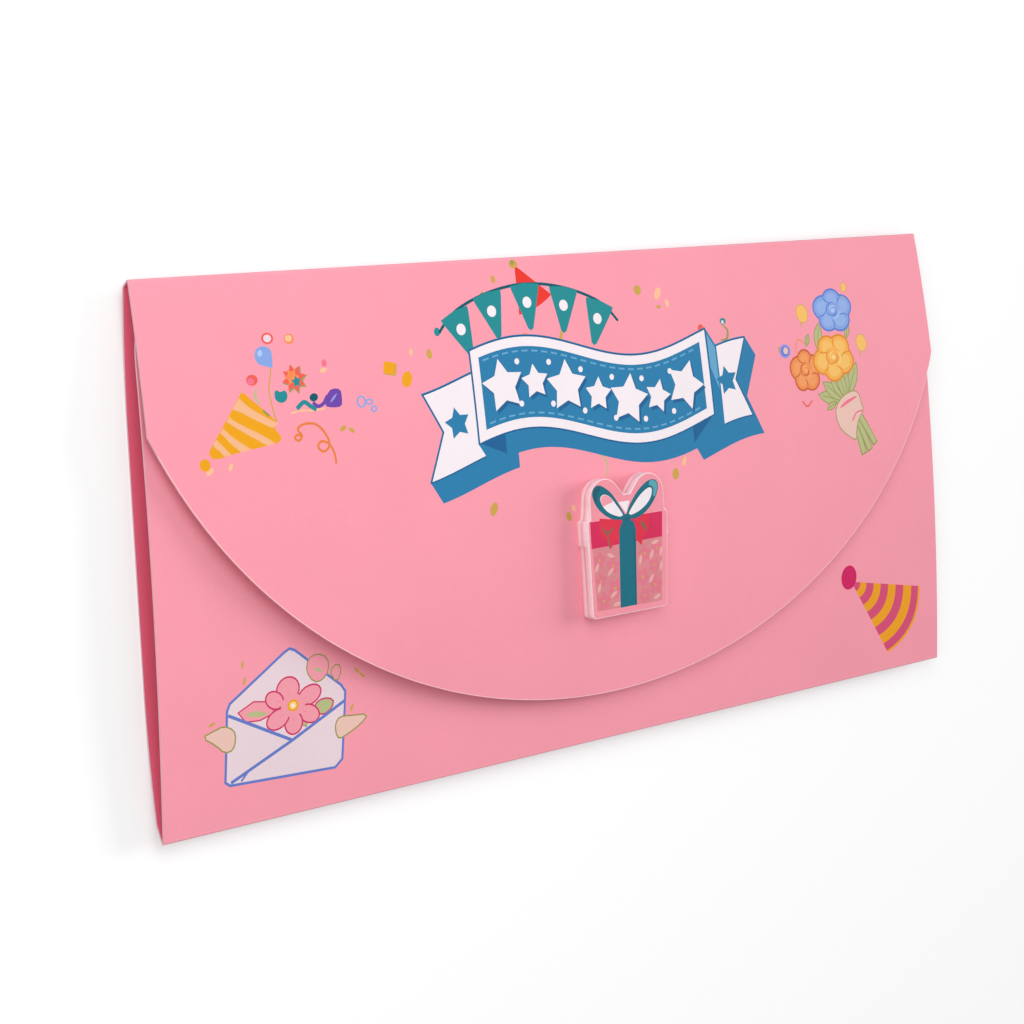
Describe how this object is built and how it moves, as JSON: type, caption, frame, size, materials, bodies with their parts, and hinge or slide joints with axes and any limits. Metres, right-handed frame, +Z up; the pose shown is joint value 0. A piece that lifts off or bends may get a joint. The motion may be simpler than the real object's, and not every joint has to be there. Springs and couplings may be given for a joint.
{
  "type": "pop up card",
  "caption": "Closed pop-up gift card: one folded sheet with a half-oval flap over the front panel, a gift-shaped badge on the flap and a folded pop-up sheet inside.",
  "frame": {"origin": "middle of the closed card's footprint, on the floor it lies on", "axes": "+X along the card's width, from its left to its right; +Y from the bottom fold to the top fold; +Z up, out of the card's front"},
  "size_m": [0.21, 0.1, 0.0113],
  "materials": {
    "cover_card": "satin",
    "badge_face": "gloss",
    "badge_foam": "matte",
    "closure": "matte",
    "insert_card": "matte"
  },
  "bodies": {
    "root": {"card_cover": "cover_card", "gift_badge_face": "badge_face", "gift_badge_back": "badge_foam", "closure_hook_dot": "closure", "closure_loop_dot": "closure", "popup_insert": "insert_card"}
  },
  "joints": []
}
